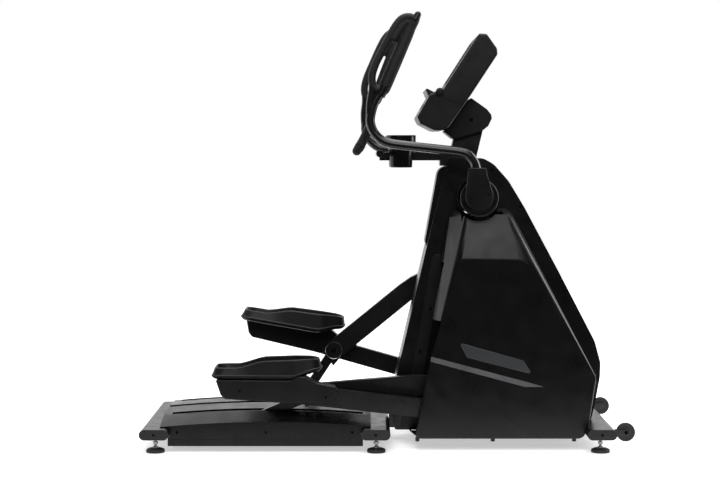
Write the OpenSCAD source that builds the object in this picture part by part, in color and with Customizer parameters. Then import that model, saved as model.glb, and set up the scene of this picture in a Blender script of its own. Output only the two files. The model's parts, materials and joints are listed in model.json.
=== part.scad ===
// Front-drive elliptical trainer. Millimetres, +X to the front of the machine, +Y to the user's left,
// +Z up. The origin is on the floor, under the middle of the machine.
// Each side is a closed linkage: crank, rail link, roller on an arched rail, pedal arm and swing arm.
// A side view angle is counted from +X towards +Z. Side -1 is the user's right and side 1 the left.

/* [Base] */
// Length of each crossbeam, side to side
beam_len = 760; // [720:1:800]
// Width of each crossbeam, front to back
beam_w = 117; // [105:1:125]
// Height of each crossbeam
beam_h = 42; // [36:1:46]
// Height of the underside of the crossbeams above the floor
beam_z = 54; // [48:1:60]
// Middle of the rear crossbeam
rear_beam_x = -927.5; // [-935:0.5:-915]
// Middle of the middle crossbeam
mid_beam_x = -46.5; // [-55:0.5:-40]
// Middle of the front crossbeam
front_beam_x = 852; // [845:1:853]
// Diameter of a levelling foot
foot_d = 75; // [60:1:80]
// Distance of the levelling feet from the middle plane
foot_y = 335; // [320:1:345]
// Diameter of a transport wheel
wheel_d = 75; // [65:1:80]

/* [Rails] */
// Distance of the roller plane from the middle plane
rail_y = 178; // [176:1:180]
// Radius of the arch of the rails and their covers
arch_r = 4450; // [4000:50:6000]
// Width of the slot in each rail cover
slot_w = 44; // [42:1:50]

/* [Linkage] */
// Height of the swing arm pivot above the floor
hub_z = 1012.5; // [1005:0.5:1020]
// Place of the swing arm pivot along the machine
hub_x = 370; // [360:1:380]
// Length of the lower part of a swing arm, pivot to pedal arm pin
swing_len = 868.5; // [860:0.5:880]
// Length of a pedal arm, front pin to link pin
pedal_len = 778; // [770:1:785]
// Distance of a roller from the link pin
roller_len = 300; // [295:1:305]
// Angle at the link pin between the roller leg and the rail link
leg_angle = 17.7; // [16:0.1:19]
// Length of a rail link, roller to crank pin
link_len = 947.5; // [940:0.5:955]
// Length of a crank arm
crank_r = 258; // [250:1:262]
// Radius of a roller
roller_r = 30; // [26:1:32]

/* [Housing] */
// Half width of the centre shroud
shroud_y = 108; // [104:1:110]
// Half width of the side shells
shell_y = 300; // [296:1:310]
// Wall of the plastic covers
wall = 4; // [3:0.5:5]

/* [Hidden] */
$fn = 48;

// Stored pose: swing, pedal arm and rail link angles of the right and the left side
swing_deg = [7.41, 10.89];
pedal_deg = [-4.52, -14];
link_deg = [4.94, 39.06];

function dir(a) = [cos(a), sin(a)];
function pick(pair, side) = side < 0 ? pair[0] : pair[1];
hub = [hub_x, hub_z];
function pedal_pin(side) = hub + swing_len * dir(pick(swing_deg, side) - 90);
function link_pin(side) = pedal_pin(side) - pedal_len * dir(pick(pedal_deg, side));
function roller_pin(side) = link_pin(side) - roller_len * dir(pick(link_deg, side) + leg_angle);
function crank_pin(side) = roller_pin(side) + link_len * dir(pick(link_deg, side));
crank = (crank_pin(-1) + crank_pin(1)) / 2;

// Layers across the machine, from the middle plane outwards
crank_arm_y = [115, 140];
link_y = [160, 196];
swing_y = [200, 226];
pedal_arm_y = [232, 268];
disc_y = [262, 276];
handle_y = 290;

// Pin and bore radii, with a running clearance between them
run_gap = 0.06;
hub_pin_r = 17.5;
pedal_pin_r = 15;
link_pin_r = 13;
roller_pin_r = 8;
crank_shaft_r = 12.5;

// Rails
beam_mid_z = beam_z + beam_h / 2;
rail_x0 = rear_beam_x + beam_w / 2;
rail_x1 = mid_beam_x - beam_w / 2;
arch_x = (rail_x0 + rail_x1) / 2 + 8;
rail_top = 67;
cover_x0 = -908;
cover_x1 = -66;
cover_side_y = 330;
cover_inner_y = 22;
cover_bottom = 23;

// Mast, a rectangular tube that leans forward
mast_lean = 13.4;
mast_w = 80;
mast_d = 110;
mast_foot = [67, 125];
mast_len = 1228;
spine_h = [50, 120];

// Drive
flywheel_at = [600, 300];
pulley_r = 140;
small_pulley_r = 22;
belt_y = [22, 38];
belt_gap = 0.5;
belt_t = 3;
idler_r = 20;
belt_run = flywheel_at - crank;
belt_lean = acos((pulley_r - small_pulley_r) / norm(belt_run));
slack_deg = atan2(belt_run.y, belt_run.x) - belt_lean;
slack_at = crank + pulley_r * dir(slack_deg) + 0.6 * norm(belt_run) * dir(slack_deg + 90);
idler_at = slack_at + (idler_r + belt_t + 2 * belt_gap) * dir(slack_deg);

// Outline of the centre shroud in the side view
shroud_outline = [
    [33, 52], [41, 275], [165, 806], [254, 1172], [396, 1172], [436, 1148], [469, 1115],
    [502, 1078], [568, 968], [716, 691], [862, 410], [880, 345], [882, 300], [862, 170],
    [846, 100], [820, 62], [796, 52]
];
// Outline and half width of the cover behind the mast, above the pedal arms
shroud_hump = [[172, 782], [160, 828], [216, 1138], [300, 1138], [230, 782]];
hump_y = 60;
// Outline of a side shell where it meets the centre shroud
shell_root = [
    [88, 46], [104, 110], [169, 400], [232, 770], [256, 930], [272, 955], [488, 966], [512, 946],
    [578, 806], [604, 756], [842, 304], [846, 280], [822, 100], [802, 56], [780, 46]
];
// Outline of the flat outer face of a side shell
shell_face = [
    [106, 46], [174, 366], [266, 782], [278, 798], [300, 805], [534, 804], [572, 790],
    [598, 752], [836, 300], [838, 280], [810, 100], [790, 54], [770, 46]
];
// Outline of the neck below the hub
shell_neck = [[300, 900], [312, 940], [322, 950], [486, 946], [504, 930], [520, 890]];
neck_y = 242;

// Handle tube, drawn with the swing arm in the right side's stored pose
handle_path = [
    [360, 1040], [359, 1092], [357, 1125], [346, 1160], [322, 1186], [290, 1198], [224, 1206], [60, 1224],
    [12, 1231], [-24, 1246], [-52, 1274], [-66, 1308], [-66, 1342], [-50, 1396], [-14, 1450]
];
grip_front = [[-14, 1450], [20, 1520], [62, 1616], [100, 1700], [112, 1728]];
grip_back = [
    [-14, 1450], [-38, 1444], [-56, 1462], [-60, 1500], [-46, 1548], [10, 1664], [36, 1710],
    [66, 1734], [112, 1728]
];

// ---------- helpers ----------

// A side view drawing, from y0 to y1 across the machine
module slab(y0, y1) {
    translate([0, y1, 0])
        rotate([90, 0, 0])
            linear_extrude(y1 - y0)
                children();
}

// A cylinder across the machine at a side view point
module barrel(at, r, y0, y1) {
    translate([at.x, y1, at.y])
        rotate([90, 0, 0])
            cylinder(r = r, h = y1 - y0);
}

// Children are drawn on the left and mirrored for the right side
module on_side(side) {
    if (side < 0)
        mirror([0, 1, 0]) children();
    else
        children();
}

// Children are drawn from a side view point, turned by an angle
module placed(at, a) {
    translate([at.x, 0, at.y])
        rotate([0, -a, 0])
            children();
}

// A flat bar with round ends between two side view points
module round_bar(a, b, w) {
    d = b - a;
    translate(a)
        rotate(atan2(d.y, d.x)) {
            translate([0, -w / 2])
                square([norm(d), w]);
            circle(d = w);
            translate([norm(d), 0])
                circle(d = w);
        }
}

module stadium(w, h) {
    square([w - h, h], center = true);
    for (s = [-1, 1])
        translate([s * (w - h) / 2, 0])
            circle(d = h);
}

// Direction of a path at one of its points
function heading(path, i) =
    let (a = path[max(i - 1, 0)], b = path[min(i + 1, len(path) - 1)])
    (b - a) / norm(b - a);

// A round tube through side view points, at one distance from the middle plane
module side_tube(path, r, y) {
    n = 16;
    last = len(path) - 1;
    points = [
        for (i = [0:last], k = [0:n - 1])
            let (t = heading(path, i), a = 360 * k / n)
            [path[i].x - t.y * r * cos(a), y + r * sin(a), path[i].y + t.x * r * cos(a)]
    ];
    sides = [
        for (i = [0:last - 1], k = [0:n - 1], half = [0, 1])
            let (a = i * n + k, b = i * n + (k + 1) % n)
            half == 0 ? [a, b, b + n] : [a, b + n, a + n]
    ];
    ends = [[for (k = [n - 1:-1:0]) k], [for (k = [0:n - 1]) last * n + k]];
    polyhedron(points, concat(sides, ends));
}

// Children turn with a swing arm, from the right side's stored pose
module swung(side) {
    translate([hub.x, 0, hub.y])
        rotate([0, swing_deg[0] - pick(swing_deg, side), 0])
            translate([-hub.x, 0, -hub.y])
                children();
}

// ---------- base ----------

module crossbeam(x) {
    cap = 3;
    difference() {
        translate([x, 0, beam_mid_z])
            slab(cap - beam_len / 2, beam_len / 2 - cap)
                difference() {
                    stadium(beam_w, beam_h);
                    stadium(beam_w - 6, beam_h - 6);
                }
        for (s = [-1, 1])
            translate([foot_x(x), s * foot_y, beam_z - 1])
                cylinder(r = 6.4, h = 6);
    }
}

// Place of the levelling feet along the machine, close to the middle of their crossbeam
function foot_x(x) = x > 0 ? x - 2 : x + 2.5;

module crossbeam_caps() {
    color("dimgray")
        for (x = [rear_beam_x, mid_beam_x, front_beam_x], s = [-1, 1])
            on_side(s)
                translate([x, 0, beam_mid_z]) {
                    slab(beam_len / 2 - 3, beam_len / 2)
                        stadium(beam_w, beam_h);
                    slab(beam_len / 2 - 10, beam_len / 2 - 3)
                        stadium(beam_w - 6.2, beam_h - 6.2);
                }
}

module rear_crossbeam() {
    color("black") crossbeam(rear_beam_x);
}

module middle_crossbeam() {
    color("black") crossbeam(mid_beam_x);
}

module front_crossbeam() {
    color("black") crossbeam(front_beam_x);
}

module base_spine() {
    x0 = mid_beam_x + beam_w / 2;
    x1 = front_beam_x - beam_w / 2;
    color("black")
        difference() {
            translate([x0, -40, spine_h[0]])
                cube([x1 - x0, 80, spine_h[1] - spine_h[0]]);
            translate([x0 - 1, -36, spine_h[0] + 4])
                cube([x1 - x0 + 2, 72, spine_h[1] - spine_h[0] - 8]);
        }
}

module foot(x, side) {
    stud_r = 6;
    color("black")
        translate([foot_x(x), side * foot_y, 0]) {
            cylinder(d = foot_d, h = 12);
            translate([0, 0, 12])
                cylinder(d1 = foot_d, d2 = foot_d - 26, h = 6);
            translate([0, 0, 18])
                cylinder(r = 11, h = 6);
            cylinder(r = stud_r, h = beam_z + 20);
            translate([0, 0, 34])
                cylinder(r = 11, h = 9, $fn = 6);
        }
}

module foot_rear_right() { foot(rear_beam_x, -1); }
module foot_rear_left() { foot(rear_beam_x, 1); }
module foot_middle_right() { foot(mid_beam_x, -1); }
module foot_middle_left() { foot(mid_beam_x, 1); }
module foot_front_right() { foot(front_beam_x, -1); }
module foot_front_left() { foot(front_beam_x, 1); }

wheel_at = [948.5, 82.6];
wheel_y = [333, 357];
wheel_pin_r = 5;

module wheel(side) {
    color("dimgray")
        on_side(side)
            difference() {
                union() {
                    barrel(wheel_at, wheel_d / 2 - 1.5, wheel_y[0], wheel_y[1]);
                    barrel(wheel_at, wheel_d / 2, wheel_y[0] + 2, wheel_y[1] - 2);
                }
                barrel(wheel_at, wheel_pin_r + run_gap, wheel_y[0] - 1, wheel_y[1] + 1);
                for (y = [wheel_y[0] - 1, wheel_y[1] - 3])
                    difference() {
                        barrel(wheel_at, 28, y, y + 4);
                        barrel(wheel_at, 12, y - 1, y + 5);
                    }
            }
}

module wheel_right() { wheel(-1); }
module wheel_left() { wheel(1); }

module wheel_brackets() {
    x0 = front_beam_x + beam_w / 2 - 8;
    color("black")
        for (s = [-1, 1])
            on_side(s) {
                difference() {
                    for (y = [wheel_y[0] - 5, wheel_y[1] + 1])
                        slab(y, y + 4)
                            round_bar([x0 - 6, beam_mid_z + 2], wheel_at, 26);
                    translate([front_beam_x, 0, beam_mid_z])
                        slab(wheel_y[0] - 20, wheel_y[1] + 20)
                            stadium(beam_w + 0.2, beam_h + 0.2);
                }
                barrel(wheel_at, wheel_pin_r, wheel_y[0] - 5, wheel_y[1] + 5);
            }
}

// ---------- rails ----------

// The solid between two radii of the arch, from one distance across to another
module arched(y0, y1, z0, z1) {
    span = asin(440 / arch_r);
    translate([arch_x, 0, rail_top - arch_r])
        rotate([90, 0, 0])
            rotate([0, 0, 90 - span])
                rotate_extrude(angle = 2 * span, $fn = 360)
                    polygon([
                        [arch_r + z0 - rail_top, -y0], [arch_r + z1 - rail_top, -y0],
                        [arch_r + z1 - rail_top, -y1], [arch_r + z0 - rail_top, -y1]
                    ]);
}

module rail(side) {
    half = 20;
    color("silver")
        on_side(side)
            intersection() {
                union() {
                    arched(rail_y - half, rail_y + half, 30, rail_top);
                    for (y = [rail_y - half, rail_y + half - 3])
                        arched(y, y + 3, rail_top - 10, rail_top + 7);
                }
                translate([rail_x0, 0, 34])
                    cube([rail_x1 - rail_x0, 400, 100]);
            }
}

module rail_right() { rail(-1); }
module rail_left() { rail(1); }

// Section of a rail cover across the machine, pulled in by a wall
module cover_section(in) {
    polygon([
        [arch_r - 80, -cover_side_y + in], [arch_r + 53 - in, -cover_side_y + in],
        [arch_r + 80 - in, -210 - in / 2], [arch_r + 86 - in, -cover_inner_y - in],
        [arch_r - 80, -cover_inner_y - in]
    ]);
}

module cover_arch(in) {
    span = asin((cover_x1 - cover_x0 + 60) / 2 / arch_r);
    translate([arch_x, 0, rail_top - arch_r])
        rotate([90, 0, 0])
            rotate([0, 0, 90 - span])
                rotate_extrude(angle = 2 * span, $fn = 360)
                    cover_section(in);
}

module rail_cover(side) {
    t = 3;
    color("black")
        on_side(side)
            difference() {
                intersection() {
                    cover_arch(0);
                    translate([cover_x0, 0, cover_bottom])
                        cube([cover_x1 - cover_x0, 400, 200]);
                }
                intersection() {
                    cover_arch(t);
                    translate([cover_x0 + t, 0, 0])
                        cube([cover_x1 - cover_x0 - 2 * t, 400, 200]);
                }
                translate([-874, rail_y - slot_w / 2, 90])
                    cube([777, slot_w, 120]);
                for (x = [rear_beam_x, mid_beam_x])
                    translate([x, 0, 0])
                        slab(0, 400) {
                            translate([0, beam_mid_z])
                                stadium(beam_w + 1, beam_h + 1);
                            translate([-beam_w / 2 + 8, 0])
                                square([beam_w - 16, beam_mid_z]);
                        }
            }
}

module rail_cover_right() { rail_cover(-1); }
module rail_cover_left() { rail_cover(1); }

// ---------- mast and drive ----------

module mast_blank(grow, hollow) {
    translate([mast_foot.x, 0, mast_foot.y])
        rotate([0, mast_lean, 0])
            translate([-mast_d / 2 - grow, -mast_w / 2 - grow, hollow ? -60 : -20])
                cube([mast_d + 2 * grow, mast_w + 2 * grow, mast_len + 20 + (hollow ? 80 : 0)]);
}

module mast() {
    color("black")
        difference() {
            mast_blank(0, false);
            mast_blank(-4, true);
            translate([-200, -100, spine_h[1] - 300])
                cube([800, 200, 300]);
        }
}

// Front face of the mast at a height
function mast_front(z) = mast_foot.x + (z - mast_foot.y) * tan(mast_lean) + mast_d / 2 / cos(mast_lean);

module pivot_cross_shaft() {
    z0 = hub.y - 45;
    z1 = hub.y + 35;
    color("silver")
        union() {
            barrel(hub, 26, -162, 162);
            barrel(hub, hub_pin_r, -258, 258);
            slab(-30, 30)
                polygon([
                    [mast_front(z0) + 0.2, z0], [hub.x + 4, z0 + 26],
                    [hub.x + 4, z1 - 15], [mast_front(z1) + 0.2, z1]
                ]);
        }
}

module drive_frame() {
    color("black") {
        for (s = [-1, 1])
            on_side(s)
                difference() {
                    slab(56, 64)
                        difference() {
                            polygon([
                                [crank.x - 90, 122], [crank.x - 38, crank.y + 6],
                                [crank.x, crank.y + 44], [crank.x + 38, crank.y + 10],
                                [flywheel_at.x + 34, flywheel_at.y + 22], [flywheel_at.x + 90, 122]
                            ]);
                            translate(crank)
                                circle(r = 26.02);
                            translate(flywheel_at)
                                circle(r = 10.06);
                            polygon([
                                [crank.x - 40, 150], [crank.x - 10, crank.y - 60],
                                [crank.x + 70, crank.y - 120], [idler_at.x - 40, 150]
                            ]);
                        }
                }
        translate([crank.x - 94, -66, spine_h[1] + 0.2])
            cube([336, 132, 5]);
        barrel(idler_at, 6, 18, 57);
    }
}

module drive_bearings() {
    color("silver")
        for (s = [-1, 1])
            on_side(s)
                difference() {
                    barrel(crank, 26, 54, 66);
                    barrel(crank, crank_shaft_r + run_gap, 50, 70);
                }
}

module crank_shaft() {
    color("silver")
        union() {
            barrel(crank, crank_shaft_r, -crank_arm_y[1], crank_arm_y[1]);
            for (s = [-1, 1])
                on_side(s)
                    barrel(crank, 17, 67, crank_arm_y[0]);
        }
}

module drive_pulley() {
    color("dimgray")
        difference() {
            union() {
                barrel(crank, pulley_r, belt_y[0], belt_y[1]);
                barrel(crank, 34, belt_y[0] - 10, belt_y[1] + 10);
            }
            barrel(crank, crank_shaft_r, 0, 60);
            for (a = [30:60:330])
                barrel(crank + 86 * dir(a), 26, 0, 60);
        }
}

module crank_arms() {
    color("gray")
        for (s = [-1, 1])
            on_side(s)
                difference() {
                    union() {
                        slab(crank_arm_y[0], crank_arm_y[1])
                            round_bar(crank, crank_pin(s), 60);
                        barrel(crank_pin(s), 19, crank_arm_y[1], link_y[0] - 1.5);
                    }
                    barrel(crank, crank_shaft_r, 100, 150);
                }
}

module flywheel() {
    color("gray")
        union() {
            difference() {
                barrel(flywheel_at, 150, -28, 4);
                for (y = [-29, -4])
                    difference() {
                        barrel(flywheel_at, 118, y, y + 9);
                        barrel(flywheel_at, 34, y - 1, y + 10);
                    }
            }
            barrel(flywheel_at, small_pulley_r, 4, belt_y[1]);
            barrel(flywheel_at, 10, -66, 66);
        }
}

module idler_pulley() {
    color("silver")
        difference() {
            barrel(idler_at, idler_r, belt_y[0], belt_y[1]);
            barrel(idler_at, 6 + run_gap, 0, 60);
        }
}

// Loop round both pulleys, grown outwards by t
module belt_loop(t) {
    hull() {
        translate(crank)
            circle(r = pulley_r + t, $fn = 96);
        translate(flywheel_at)
            circle(r = small_pulley_r + t, $fn = 96);
    }
}

module drive_belt() {
    color("black")
        slab(belt_y[0] + 1, belt_y[1] - 1)
            difference() {
                belt_loop(belt_gap + belt_t);
                belt_loop(belt_gap);
            }
}

module brake_unit() {
    color("dimgray")
        translate([flywheel_at.x, 0, flywheel_at.y])
            rotate([90, 0, 0])
                rotate([0, 0, -75])
                    rotate_extrude(angle = 60, $fn = 96)
                        polygon([
                            [122, -12], [122, -7], [154, -7], [154, 31], [122, 31], [122, 38],
                            [161, 38], [161, -12]
                        ]);
}

// ---------- covers ----------

// The way through the covers for the front crossbeam
module front_beam_gap() {
    translate([front_beam_x, 0, beam_mid_z])
        slab(0, 400)
            stadium(beam_w + 2, beam_h + 2);
}

module centre_shroud(side) {
    color("black")
        on_side(side)
            difference() {
                union() {
                    slab(0.2, shroud_y)
                        polygon(shroud_outline);
                    slab(0.2, hump_y)
                        polygon(shroud_hump);
                    barrel(hub, 86, shroud_y - 2, 196);
                }
                slab(-1, shroud_y - wall)
                    offset(delta = -wall)
                        polygon(shroud_outline);
                mast_blank(1, true);
                translate([0, -1, 0])
                    cube([900, shroud_y - wall + 1, spine_h[1] + 2]);
                translate([221, -1, 1139])
                    cube([62, 50, 60]);
                front_beam_gap();
                barrel(crank, 30, 50, 120);
                barrel(hub, 30, 50, 120);
                barrel(hub, 80, shroud_y, 200);
                slab(-1, hump_y - wall)
                    offset(delta = -wall)
                        polygon(shroud_hump);
            }
}

module centre_shroud_right() { centre_shroud(-1); }
module centre_shroud_left() { centre_shroud(1); }

// Solid form of a side shell, pulled in by a wall
module shell_form(in) {
    hull() {
        slab(shroud_y + 0.5, shroud_y + 40)
            offset(delta = -in)
                polygon(shell_root);
        slab(shroud_y + 60, neck_y - in)
            offset(delta = -in)
                polygon(shell_neck);
        slab(shroud_y + 60, shell_y - in)
            offset(delta = -in)
                polygon(shell_face);
    }
}

module side_shell(side) {
    color("black")
        on_side(side)
            difference() {
                shell_form(0);
                shell_form(wall);
                slab(0, shroud_y + 42)
                    offset(delta = -wall)
                        polygon(shell_root);
                slab(0, shell_y - wall)
                    polygon([[-50, 58], [190, 58], [250, 520], [-50, 520]]);
                slab(0, 204)
                    polygon([[-50, 500], [255, 500], [268, 748], [-50, 748]]);
                barrel(hub, 94, shroud_y - 2, 320);
                translate([300, swing_y[0] - 10, 880])
                    cube([170, swing_y[1] - swing_y[0] + 18, 100]);
                front_beam_gap();
            }
}

module side_shell_right() { side_shell(-1); }
module side_shell_left() { side_shell(1); }

module side_badges() {
    color("silver")
        for (s = [-1, 1])
            on_side(s)
                slab(shell_y + 0.3, shell_y + 2.5)
                    polygon([[288, 434], [546, 362], [584, 306], [320, 374]]);
}

module accent_strips() {
    color("gray")
        for (s = [-1, 1])
            on_side(s)
                slab(shell_y + 0.3, shell_y + 2)
                    polygon([[178, 377], [556, 275], [632, 255], [550, 256], [174, 357]]);
}

module cover_screws() {
    color("gray")
        for (s = [-1, 1])
            on_side(s) {
                for (p = [[432, 1126], [551, 974]])
                    barrel(p, 5, shroud_y + 0.2, shroud_y + 3);
                for (x = [-840, -485, -140])
                    barrel([x, 78], 5, cover_side_y + 0.2, cover_side_y + 2.5);
            }
}

// ---------- console ----------

module console_bracket() {
    color("black")
        difference() {
            slab(-78, 78)
                polygon([
                    [274, 1251], [237, 1280], [336, 1410], [350, 1420], [414, 1374], [432, 1352],
                    [435, 1335], [420, 1304], [400, 1288], [305, 1256]
                ]);
            mast_blank(0.3, true);
        }
}

// Side outline of the console, with the screen housing above and the key box below
console_outline = [
    [376, 1677], [406, 1674], [446, 1618], [448, 1592], [338, 1424], [246, 1292], [226, 1284],
    [192, 1284], [136, 1312], [122, 1338], [174, 1428], [196, 1440], [230, 1450]
];

// Face line of the screen housing and of the key box
function along(a, b, t) = a + (b - a) * t;
screen_line = [[233, 1454], [374, 1674]];
key_line = [[124, 1342], [174, 1427]];

module console_housing() {
    color("black")
        difference() {
            slab(-205, 205)
                polygon(console_outline);
            difference() {
                slab(-200, 200)
                    offset(delta = -5)
                        polygon(console_outline);
                screen_pocket(10, 5);
                for (i = [-1.5:1:1.5])
                    key_hole(i, 4, 11);
            }
            slab(-60, 60)
                polygon([[262, 1300], [300, 1280], [360, 1390], [326, 1414]]);
            screen_pocket(6, 0);
            for (i = [-1.5:1:1.5])
                key_hole(i, 0.6, 7);
        }
}

// A box let into the screen face to a depth
module screen_pocket(depth, grow) {
    a = atan2(screen_line[1].y - screen_line[0].y, screen_line[1].x - screen_line[0].x);
    placed(screen_line[0], a)
        translate([22 - grow, -178 - grow, -depth])
            cube([218 + 2 * grow, 356 + 2 * grow, depth + 20]);
}

module console_screen() {
    a = atan2(screen_line[1].y - screen_line[0].y, screen_line[1].x - screen_line[0].x);
    color("darkslategray")
        placed(screen_line[0], a)
            translate([22.5, -177.5, -5.9])
                cube([217, 355, 5]);
}

// One key or its hole, at a place in the row
module key_hole(i, grow, depth) {
    a = atan2(key_line[1].y - key_line[0].y, key_line[1].x - key_line[0].x);
    placed(along(key_line[0], key_line[1], 0.5), a)
        translate([-11 - grow, i * 60 - 18 - grow, -depth])
            cube([22 + 2 * grow, 36 + 2 * grow, depth + 20]);
}

module key(i) {
    color("gray")
        intersection() {
            key_hole(i, 0, 5);
            placed(along(key_line[0], key_line[1], 0.5), key_angle)
                translate([-50, -200, -5])
                    cube([100, 400, 7]);
        }
}

key_angle = atan2(key_line[1].y - key_line[0].y, key_line[1].x - key_line[0].x);

module start_key() { key(-1.5); }
module stop_key() { key(-0.5); }
module plus_key() { key(0.5); }
module minus_key() { key(1.5); }

// ---------- fixed handlebar ----------

bar_at = [-28, 1190];
bar_half = 200;

module handlebar() {
    color("black")
        difference() {
            union() {
                barrel(bar_at, 15, -bar_half, bar_half);
                translate([bar_at.x, -24, 1162])
                    cube([290, 48, 34]);
                translate([222, -48, 1140])
                    cube([60, 96, 62]);
            }
            mast_blank(0.3, true);
        }
}

module pulse_grips() {
    color("dimgray")
        for (s = [-1, 1])
            on_side(s)
                difference() {
                    side_tube([[-120, 1203], [-104, 1228], [-74, 1288], [-66, 1304]], 20, bar_half - 4);
                    barrel(bar_at, 15, 100, bar_half);
                }
}

cup_at = [60, 105];
cup_z = [1133, 1266];

module cup_holders() {
    collar_z = cup_z[1] - 42;
    color("black")
        for (s = [-1, 1])
            difference() {
                union() {
                    translate([cup_at.x, s * cup_at.y, cup_z[0]])
                        cylinder(d1 = 90, d2 = 100, h = collar_z - cup_z[0]);
                    translate([cup_at.x, s * cup_at.y, collar_z])
                        cylinder(d = 122, h = cup_z[1] - collar_z);
                    translate([cup_at.x - 22, s * 44 - 20, 1166])
                        cube([44, 40, 26]);
                }
                translate([cup_at.x, s * cup_at.y, cup_z[0] + 4])
                    cylinder(d1 = 82, d2 = 92, h = collar_z - cup_z[0]);
                translate([cup_at.x, s * cup_at.y, collar_z - 1])
                    cylinder(d = 92, h = 10);
                translate([cup_at.x, s * cup_at.y, collar_z + 4])
                    cylinder(d = 114, h = cup_z[1] - collar_z);
            }
}

// ---------- swing arms ----------

module swing_arm(side) {
    s_pin = pedal_pin(side);
    color("black")
        on_side(side)
            difference() {
                union() {
                    slab(swing_y[0], swing_y[1])
                        round_bar(hub, s_pin, 60);
                    barrel(hub, 32, 166, disc_y[0]);
                    barrel(hub, 77, disc_y[0], disc_y[1]);
                    barrel(s_pin, pedal_pin_r, swing_y[1], pedal_arm_y[1] + 6);
                    barrel(s_pin, 22, pedal_arm_y[1] + 1, pedal_arm_y[1] + 6);
                    swung(side)
                        side_tube(handle_path, 18.5, handle_y);
                }
                barrel(hub, hub_pin_r + run_gap, 100, 259);
            }
}

module swing_arm_right() { swing_arm(-1); }
module swing_arm_left() { swing_arm(1); }

module hub_cover(side) {
    color("black")
        on_side(side)
            swung(side)
                difference() {
                    slab(disc_y[1], 312)
                        polygon(concat(
                            [for (a = [-190:10:10]) [hub.x - 2, hub.y + 6] + 54 * dir(a)],
                            [[hub.x + 22, hub.y + 118], [hub.x - 42, hub.y + 118]]
                        ));
                    side_tube(handle_path, 18.7, handle_y);
                }
}

module hub_cover_right() { hub_cover(-1); }
module hub_cover_left() { hub_cover(1); }

module hand_grip(side) {
    color("dimgray")
        on_side(side)
            swung(side)
                difference() {
                    union() {
                        side_tube(grip_front, 21, handle_y);
                        side_tube(grip_back, 17, handle_y);
                        slab(handle_y - 9, handle_y + 9)
                            polygon([[16, 1640], [44, 1716], [74, 1734], [104, 1716], [66, 1632]]);
                    }
                    side_tube(handle_path, 18.7, handle_y);
                }
}

module hand_grip_right() { hand_grip(-1); }
module hand_grip_left() { hand_grip(1); }

// ---------- pedal arms ----------

arm_tilt = -1.8;
arm_h = 74;

module pedal_arm(side) {
    color("black")
        on_side(side)
            placed(link_pin(side), pick(pedal_deg, side))
                difference() {
                    union() {
                        rotate([0, -arm_tilt, 0])
                            difference() {
                                translate([-370, pedal_arm_y[0], -arm_h / 2])
                                    cube([1130, pedal_arm_y[1] - pedal_arm_y[0], arm_h]);
                                translate([-371, pedal_arm_y[0] + 4, 4 - arm_h / 2])
                                    cube([1090, pedal_arm_y[1] - pedal_arm_y[0] - 8, arm_h - 8]);
                            }
                        barrel([0, 0], 22, pedal_arm_y[0] + 1, pedal_arm_y[1] - 1);
                        barrel([pedal_len, 0], 38, pedal_arm_y[0] - 2, pedal_arm_y[1]);
                    }
                    barrel([pedal_len, 0], pedal_pin_r + run_gap, 200, 300);
                    barrel([0, 0], link_pin_r + run_gap, 200, 300);
                }
}

module pedal_arm_right() { pedal_arm(-1); }
module pedal_arm_left() { pedal_arm(1); }

tray_tilt = 4;

// Foot tray with a raised rim, and the boot below it that wraps the pedal arm
module pedal(side) {
    color("black")
        on_side(side)
            placed(link_pin(side), pick(pedal_deg, side))
                difference() {
                    rotate([0, -tray_tilt, 0])
                        union() {
                            difference() {
                                slab(96, 286)
                                    polygon([
                                        [-424, 76], [-409, 62], [-88, 62], [-20, 98], [24, 116],
                                        [14, 150], [-210, 142], [-300, 112], [-398, 112]
                                    ]);
                                slab(272, 288)
                                    polygon([
                                        [-440, 96], [-300, 96], [-212, 136], [30, 138], [30, 200],
                                        [-440, 200]
                                    ]);
                                slab(108, 274)
                                    polygon([
                                        [-386, 84], [-86, 84], [-14, 118], [-4, 200], [-430, 200],
                                        [-410, 112]
                                    ]);
                            }
                            slab(222, 283)
                                polygon([
                                    [-392, 64], [-374, 2], [-358, -12], [-90, -28], [48, -28],
                                    [70, -16], [104, 20], [80, 46], [-20, 64]
                                ]);
                        }
                    rotate([0, -arm_tilt, 0])
                        translate([-371, pedal_arm_y[0] - 2.5, -arm_h / 2 - 0.5])
                            cube([1132, pedal_arm_y[1] - pedal_arm_y[0] + 3, arm_h + 1]);
                    barrel([0, 0], 24, 150, 277);
                }
}

module pedal_right() { pedal(-1); }
module pedal_left() { pedal(1); }

// ---------- rail links ----------

link_drop = -roller_len * sin(leg_angle);
link_back = -roller_len * cos(leg_angle);
link_outline = [
    [-40, 34], [0, 41], [395, 41], [450, 37], [505, 24], [556, 2], [604, -26], [644, -52],
    [link_back + link_len + 6, link_drop + 40], [link_back + link_len - 6, link_drop - 36],
    [600, -112], [548, -78], [496, -55], [445, -43], [395, -41], [0, -41], [-44, -50]
];

module rail_link(side) {
    roller_in = [link_back, link_drop];
    crank_in = [link_back + link_len, link_drop];
    color("black")
        on_side(side)
            placed(link_pin(side), pick(link_deg, side))
                difference() {
                    union() {
                        slab(link_y[0], link_y[1]) {
                            polygon(link_outline);
                            round_bar([0, 0], roller_in, 40);
                            translate(crank_in)
                                circle(r = 38);
                        }
                        barrel([0, 0], 37, link_y[0] - 8, link_y[0]);
                        barrel([0, 0], link_pin_r, link_y[1], pedal_arm_y[1] + 6);
                        barrel([0, 0], 21, pedal_arm_y[1] + 1, pedal_arm_y[1] + 6);
                        barrel([0, 0], 22, link_y[1], pedal_arm_y[0] - 1);
                    }
                    difference() {
                        barrel(roller_in, roller_r + 3, link_y[0] + 4, link_y[1] - 4);
                        barrel(roller_in, roller_pin_r, link_y[0], link_y[1]);
                    }
                    barrel(crank_in, 19.2, link_y[0] - 1, link_y[1] - 6);
                }
}

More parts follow.
